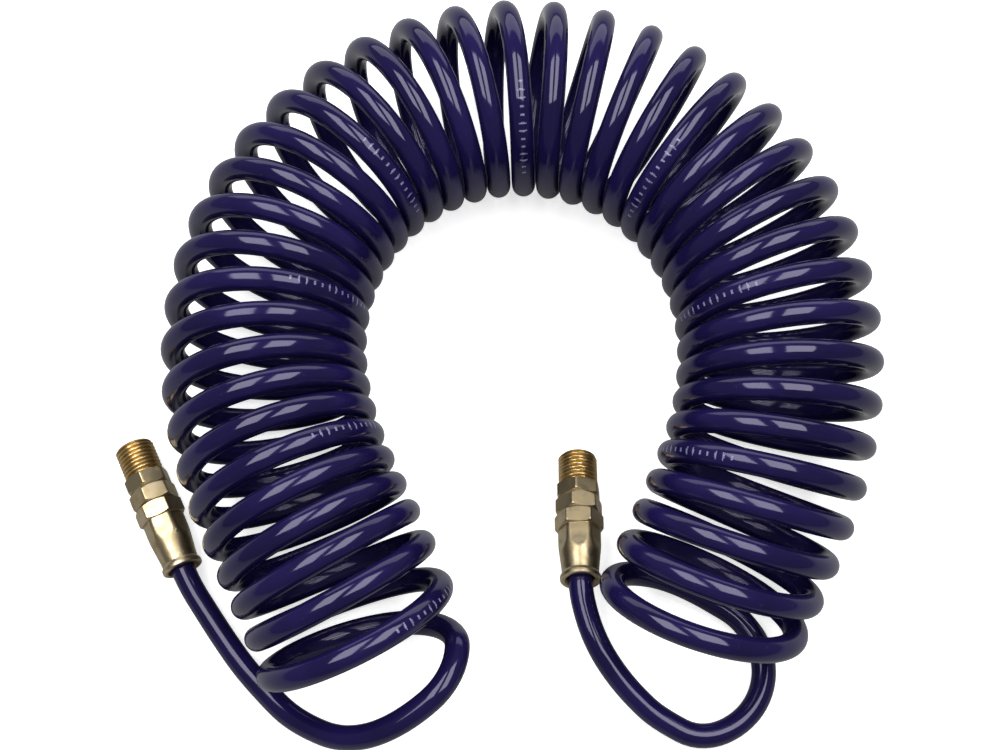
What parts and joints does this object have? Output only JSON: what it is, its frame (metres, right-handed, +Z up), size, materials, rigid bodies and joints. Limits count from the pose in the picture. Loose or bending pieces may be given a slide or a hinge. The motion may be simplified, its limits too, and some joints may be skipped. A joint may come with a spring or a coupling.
{
  "type": "coiled air hose",
  "caption": "Coiled flexible air hose in a horseshoe bend, with a free tail and a swivelling male-threaded hex fitting at each end.",
  "frame": {"origin": "middle of the footprint of the whole hose, on the floor it lies on", "axes": "+Z up from the floor; +Y towards the crown of the horseshoe, whose open side faces -Y; +X to the right seen with +Y ahead"},
  "size_m": [0.2568, 0.2586, 0.068],
  "materials": {
    "tube": "gloss",
    "brass": "machined",
    "seal": "satin",
    "washer": "matte",
    "spring": "satin"
  },
  "bodies": {
    "crown": {"turn_crown": "tube"},
    "left_turn_01": {"turn_left_01": "tube"},
    "left_turn_02": {"turn_left_02": "tube"},
    "left_turn_03": {"turn_left_03": "tube"},
    "left_turn_04": {"turn_left_04": "tube"},
    "left_turn_05": {"turn_left_05": "tube"},
    "left_turn_06": {"turn_left_06": "tube"},
    "left_turn_07": {"turn_left_07": "tube"},
    "left_turn_08": {"turn_left_08": "tube"},
    "left_turn_09": {"turn_left_09": "tube"},
    "left_turn_10": {"turn_left_10": "tube"},
    "left_turn_11": {"turn_left_11": "tube"},
    "left_turn_12": {"turn_left_12": "tube"},
    "left_turn_13": {"turn_left_13": "tube"},
    "left_turn_14": {"turn_left_14": "tube"},
    "left_turn_15": {"turn_left_15": "tube"},
    "left_turn_16": {"turn_left_16": "tube"},
    "left_turn_17": {"turn_left_17": "tube"},
    "left_turn_18": {"turn_left_18": "tube"},
    "left_turn_19": {"turn_left_19": "tube"},
    "left_turn_20": {"turn_left_20": "tube"},
    "left_turn_21": {"turn_left_21": "tube"},
    "left_turn_22": {"turn_left_22": "tube"},
    "left_turn_23": {"turn_left_23": "tube"},
    "left_end": {"tail_left": "tube", "clamp_nut_left": "brass", "hose_stem_left": "brass", "thrust_washer_left": "washer", "swivel_oring_left": "seal", "snap_ring_left": "spring"},
    "left_stud": {"threaded_stud_left": "brass"},
    "right_turn_01": {"turn_right_01": "tube"},
    "right_turn_02": {"turn_right_02": "tube"},
    "right_turn_03": {"turn_right_03": "tube"},
    "right_turn_04": {"turn_right_04": "tube"},
    "right_turn_05": {"turn_right_05": "tube"},
    "right_turn_06": {"turn_right_06": "tube"},
    "right_turn_07": {"turn_right_07": "tube"},
    "right_turn_08": {"turn_right_08": "tube"},
    "right_turn_09": {"turn_right_09": "tube"},
    "right_turn_10": {"turn_right_10": "tube"},
    "right_turn_11": {"turn_right_11": "tube"},
    "right_turn_12": {"turn_right_12": "tube"},
    "right_turn_13": {"turn_right_13": "tube"},
    "right_turn_14": {"turn_right_14": "tube"},
    "right_turn_15": {"turn_right_15": "tube"},
    "right_turn_16": {"turn_right_16": "tube"},
    "right_end": {"tail_right": "tube", "clamp_nut_right": "brass", "hose_stem_right": "brass", "thrust_washer_right": "washer", "swivel_oring_right": "seal", "snap_ring_right": "spring"},
    "right_stud": {"threaded_stud_right": "brass"}
  },
  "joints": [
    {"name": "left_leg_flex", "type": "hinge", "parent": "crown", "child": "left_turn_01", "pos_m": [0.02604, 0.06252, 0.03398], "axis": [-0.0114, 0.0048, 0.9999], "range_deg": [-7.1, 0.19]},
    {"name": "left_flex_02", "type": "hinge", "parent": "left_turn_01", "child": "left_turn_02", "pos_m": [0.01798, 0.0647, 0.03399], "axis": [-0.0177, 0.0037, 0.9998], "range_deg": [-7.05, 0.2]},
    {"name": "left_flex_03", "type": "hinge", "parent": "left_turn_02", "child": "left_turn_03", "pos_m": [0.00968, 0.06553, 0.03399], "axis": [-0.0233, 0.0007, 0.9997], "range_deg": [-6.98, 0.19]},
    {"name": "left_flex_04", "type": "hinge", "parent": "left_turn_03", "child": "left_turn_04", "pos_m": [0.00138, 0.065, 0.034], "axis": [-0.0279, -0.0039, 0.9996], "range_deg": [-6.9, 0.19]},
    {"name": "left_flex_05", "type": "hinge", "parent": "left_turn_04", "child": "left_turn_05", "pos_m": [-0.00672, 0.06314, 0.034], "axis": [-0.0314, -0.0098, 0.9995], "range_deg": [-6.81, 0.19]},
    {"name": "left_flex_06", "type": "hinge", "parent": "left_turn_05", "child": "left_turn_06", "pos_m": [-0.01443, 0.06003, 0.034], "axis": [-0.0335, -0.0167, 0.9993], "range_deg": [-6.71, 0.19]},
    {"name": "left_flex_07", "type": "hinge", "parent": "left_turn_06", "child": "left_turn_07", "pos_m": [-0.02155, 0.05576, 0.034], "axis": [-0.0341, -0.0242, 0.9991], "range_deg": [-6.59, 0.18]},
    {"name": "left_flex_08", "type": "hinge", "parent": "left_turn_07", "child": "left_turn_08", "pos_m": [-0.02794, 0.05045, 0.034], "axis": [-0.0333, -0.0323, 0.9989], "range_deg": [-6.46, 0.18]},
    {"name": "left_flex_09", "type": "hinge", "parent": "left_turn_08", "child": "left_turn_09", "pos_m": [-0.03346, 0.04423, 0.034], "axis": [-0.031, -0.0405, 0.9987], "range_deg": [-6.17, 0.17]},
    {"name": "left_flex_10", "type": "hinge", "parent": "left_turn_09", "child": "left_turn_10", "pos_m": [-0.03804, 0.03728, 0.034], "axis": [-0.0276, -0.0488, 0.9984], "range_deg": [-5.81, 0.16]},
    {"name": "left_flex_11", "type": "hinge", "parent": "left_turn_10", "child": "left_turn_11", "pos_m": [-0.04165, 0.02977, 0.034], "axis": [-0.023, -0.0571, 0.9981], "range_deg": [-5.62, 0.16]},
    {"name": "left_flex_12", "type": "hinge", "parent": "left_turn_11", "child": "left_turn_12", "pos_m": [-0.04425, 0.02183, 0.03399], "axis": [-0.0172, -0.0655, 0.9977], "range_deg": [-5.39, 0.15]},
    {"name": "left_end_flex", "type": "hinge", "parent": "left_turn_12", "child": "left_turn_13", "pos_m": [-0.04584, 0.01359, 0.03399], "axis": [-0.0101, -0.0742, 0.9972], "range_deg": [-5.13, 0.14]},
    {"name": "left_flex_14", "type": "hinge", "parent": "left_turn_13", "child": "left_turn_14", "pos_m": [-0.04643, 0.00518, 0.03398], "axis": [-0.0016, -0.0834, 0.9965], "range_deg": [-4.84, 0.14]},
    {"name": "left_flex_15", "type": "hinge", "parent": "left_turn_14", "child": "left_turn_15", "pos_m": [-0.04607, -0.0033, 0.03396], "axis": [0.0082, -0.0935, 0.9956], "range_deg": [-4.48, 0.13]},
    {"name": "left_flex_16", "type": "hinge", "parent": "left_turn_15", "child": "left_turn_16", "pos_m": [-0.04481, -0.01178, 0.03394], "axis": [0.0198, -0.1052, 0.9943], "range_deg": [-4.07, 0.12]},
    {"name": "left_flex_17", "type": "hinge", "parent": "left_turn_16", "child": "left_turn_17", "pos_m": [-0.04271, -0.02022, 0.03391], "axis": [0.0334, -0.1193, 0.9923], "range_deg": [-3.57, 0.1]},
    {"name": "left_flex_18", "type": "hinge", "parent": "left_turn_17", "child": "left_turn_18", "pos_m": [-0.03988, -0.0286, 0.03385], "axis": [0.0497, -0.1373, 0.9893], "range_deg": [-2.97, 0.09]},
    {"name": "left_flex_19", "type": "hinge", "parent": "left_turn_18", "child": "left_turn_19", "pos_m": [-0.03639, -0.03699, 0.03375], "axis": [0.0694, -0.1613, 0.9845], "range_deg": [-2.24, 0.07]},
    {"name": "left_flex_20", "type": "hinge", "parent": "left_turn_19", "child": "left_turn_20", "pos_m": [-0.03236, -0.04551, 0.03358], "axis": [0.0929, -0.1946, 0.9765], "range_deg": [-1.35, 0.04]},
    {"name": "left_flex_21", "type": "hinge", "parent": "left_turn_20", "child": "left_turn_21", "pos_m": [-0.02792, -0.05438, 0.03327], "axis": [0.1203, -0.242, 0.9628], "range_deg": [-0.252, 0.016]},
    {"name": "left_flex_22", "type": "hinge", "parent": "left_turn_21", "child": "left_turn_22", "pos_m": [-0.02302, -0.06448, 0.0327], "axis": [0.1526, -0.3174, 0.9359], "range_deg": [-0.04, 1.15]},
    {"name": "left_flex_23", "type": "hinge", "parent": "left_turn_22", "child": "left_turn_23", "pos_m": [-0.01744, -0.07772, 0.03162], "axis": [0.1795, -0.4269, 0.8863], "range_deg": [-0.09, 2.89]},
    {"name": "left_tail_swing", "type": "hinge", "parent": "left_turn_23", "child": "left_end", "pos_m": [-0.01199, -0.09553, 0.02955], "axis": [-0.1761, 0.5674, -0.8044], "range_deg": [-3, 3]},
    {"name": "left_swivel", "type": "hinge", "parent": "left_end", "child": "left_stud", "pos_m": [-0.11827, -0.03385, 0.00785], "axis": [-0.4131, 0.9107, 0], "continuous": true},
    {"name": "right_leg_flex", "type": "hinge", "parent": "crown", "child": "right_turn_01", "pos_m": [0.03365, 0.05905, 0.03398], "axis": [0.005, -0.0036, -1], "range_deg": [-8.01, 0.17]},
    {"name": "right_flex_02", "type": "hinge", "parent": "right_turn_01", "child": "right_turn_02", "pos_m": [0.04067, 0.05444, 0.03397], "axis": [-0.0013, -0.0003, -1], "range_deg": [-7.84, 0.18]},
    {"name": "right_flex_03", "type": "hinge", "parent": "right_turn_02", "child": "right_turn_03", "pos_m": [0.04695, 0.04883, 0.03396], "axis": [-0.0071, 0.0052, -1], "range_deg": [-7.64, 0.17]},
    {"name": "right_flex_04", "type": "hinge", "parent": "right_turn_03", "child": "right_turn_04", "pos_m": [0.05238, 0.04234, 0.03394], "axis": [-0.0118, 0.0131, -0.9998], "range_deg": [-7.42, 0.17]},
    {"name": "right_flex_05", "type": "hinge", "parent": "right_turn_04", "child": "right_turn_05", "pos_m": [0.05686, 0.03511, 0.03392], "axis": [-0.0151, 0.0232, -0.9996], "range_deg": [-7.16, 0.16]},
    {"name": "right_flex_06", "type": "hinge", "parent": "right_turn_05", "child": "right_turn_06", "pos_m": [0.06035, 0.02729, 0.03389], "axis": [-0.0165, 0.0356, -0.9992], "range_deg": [-6.87, 0.16]},
    {"name": "right_flex_07", "type": "hinge", "parent": "right_turn_06", "child": "right_turn_07", "pos_m": [0.0628, 0.01902, 0.03385], "axis": [-0.0157, 0.0504, -0.9986], "range_deg": [-6.54, 0.15]},
    {"name": "right_flex_08", "type": "hinge", "parent": "right_turn_07", "child": "right_turn_08", "pos_m": [0.06421, 0.01042, 0.0338], "axis": [-0.0122, 0.0674, -0.9977], "range_deg": [-6.17, 0.14]},
    {"name": "right_flex_09", "type": "hinge", "parent": "right_turn_08", "child": "right_turn_09", "pos_m": [0.06461, 0.00161, 0.03373], "axis": [-0.0055, 0.0869, -0.9962], "range_deg": [-5.75, 0.13]},
    {"name": "right_flex_10", "type": "hinge", "parent": "right_turn_09", "child": "right_turn_10", "pos_m": [0.06403, -0.00733, 0.03363], "axis": [0.0047, 0.1092, -0.994], "range_deg": [-5.27, 0.12]},
    {"name": "right_flex_11", "type": "hinge", "parent": "right_turn_10", "child": "right_turn_11", "pos_m": [0.06253, -0.01635, 0.03349], "axis": [0.0189, 0.1349, -0.9907], "range_deg": [-4.79, 0.11]},
    {"name": "right_flex_12", "type": "hinge", "parent": "right_turn_11", "child": "right_turn_12", "pos_m": [0.06016, -0.02542, 0.03328], "axis": [0.038, 0.1647, -0.9856], "range_deg": [-4.31, 0.1]},
    {"name": "right_flex_13", "type": "hinge", "parent": "right_turn_12", "child": "right_turn_13", "pos_m": [0.05697, -0.03457, 0.03297], "axis": [0.0626, 0.2001, -0.9778], "range_deg": [-3.56, 0.09]},
    {"name": "right_flex_14", "type": "hinge", "parent": "right_turn_13", "child": "right_turn_14", "pos_m": [0.05307, -0.0439, 0.0325], "axis": [0.0931, 0.2435, -0.9654], "range_deg": [-2.71, 0.07]},
    {"name": "right_flex_15", "type": "hinge", "parent": "right_turn_14", "child": "right_turn_15", "pos_m": [0.04854, -0.05361, 0.03177], "axis": [0.1296, 0.2982, -0.9456], "range_deg": [-1.72, 0.05]},
    {"name": "right_flex_16", "type": "hinge", "parent": "right_turn_15", "child": "right_turn_16", "pos_m": [0.0435, -0.06399, 0.03059], "axis": [0.1719, 0.3693, -0.9133], "range_deg": [-0.583, 0.022]},
    {"name": "right_tail_swing", "type": "hinge", "parent": "right_turn_16", "child": "right_end", "pos_m": [0.03802, -0.07571, 0.02868], "axis": [0.2201, 0.4688, -0.8555], "range_deg": [-3, 3]},
    {"name": "right_swivel", "type": "hinge", "parent": "right_end", "child": "right_stud", "pos_m": [0.02811, -0.03805, 0.0091], "axis": [0, 0.9744, -0.225], "continuous": true}
  ],
  "couplings": [
    {"joint": "left_flex_02", "follows": "left_leg_flex", "ratio": 0.99129},
    {"joint": "left_flex_03", "follows": "left_leg_flex", "ratio": 0.98141},
    {"joint": "left_flex_04", "follows": "left_leg_flex", "ratio": 0.97022},
    {"joint": "left_flex_05", "follows": "left_leg_flex", "ratio": 0.95752},
    {"joint": "left_flex_06", "follows": "left_leg_flex", "ratio": 0.94308},
    {"joint": "left_flex_07", "follows": "left_leg_flex", "ratio": 0.92664},
    {"joint": "left_flex_08", "follows": "left_leg_flex", "ratio": 0.90788},
    {"joint": "left_flex_09", "follows": "left_leg_flex", "ratio": 0.86685},
    {"joint": "left_flex_10", "follows": "left_leg_flex", "ratio": 0.81627},
    {"joint": "left_flex_11", "follows": "left_leg_flex", "ratio": 0.78932},
    {"joint": "left_flex_12", "follows": "left_leg_flex", "ratio": 0.75816},
    {"joint": "left_flex_14", "follows": "left_end_flex", "ratio": 0.94146},
    {"joint": "left_flex_15", "follows": "left_end_flex", "ratio": 0.87268},
    {"joint": "left_flex_16", "follows": "left_end_flex", "ratio": 0.79128},
    {"joint": "left_flex_17", "follows": "left_end_flex", "ratio": 0.69421},
    {"joint": "left_flex_18", "follows": "left_end_flex", "ratio": 0.57747},
    {"joint": "left_flex_19", "follows": "left_end_flex", "ratio": 0.43578},
    {"joint": "left_flex_20", "follows": "left_end_flex", "ratio": 0.26213},
    {"joint": "left_flex_21", "follows": "left_end_flex", "ratio": 0.04717},
    {"joint": "left_flex_22", "follows": "left_end_flex", "ratio": -0.22164},
    {"joint": "left_flex_23", "follows": "left_end_flex", "ratio": -0.56123},
    {"joint": "right_flex_02", "follows": "right_leg_flex", "ratio": 0.97799},
    {"joint": "right_flex_03", "follows": "right_leg_flex", "ratio": 0.95312},
    {"joint": "right_flex_04", "follows": "right_leg_flex", "ratio": 0.92498},
    {"joint": "right_flex_05", "follows": "right_leg_flex", "ratio": 0.89315},
    {"joint": "right_flex_06", "follows": "right_leg_flex", "ratio": 0.8571},
    {"joint": "right_flex_07", "follows": "right_leg_flex", "ratio": 0.81625},
    {"joint": "right_flex_08", "follows": "right_leg_flex", "ratio": 0.7699},
    {"joint": "right_flex_09", "follows": "right_leg_flex", "ratio": 0.71727},
    {"joint": "right_flex_10", "follows": "right_leg_flex", "ratio": 0.65739},
    {"joint": "right_flex_11", "follows": "right_leg_flex", "ratio": 0.5976},
    {"joint": "right_flex_12", "follows": "right_leg_flex", "ratio": 0.53729},
    {"joint": "right_flex_13", "follows": "right_leg_flex", "ratio": 0.44408},
    {"joint": "right_flex_14", "follows": "right_leg_flex", "ratio": 0.33712},
    {"joint": "right_flex_15", "follows": "right_leg_flex", "ratio": 0.21398},
    {"joint": "right_flex_16", "follows": "right_leg_flex", "ratio": 0.07163}
  ]
}
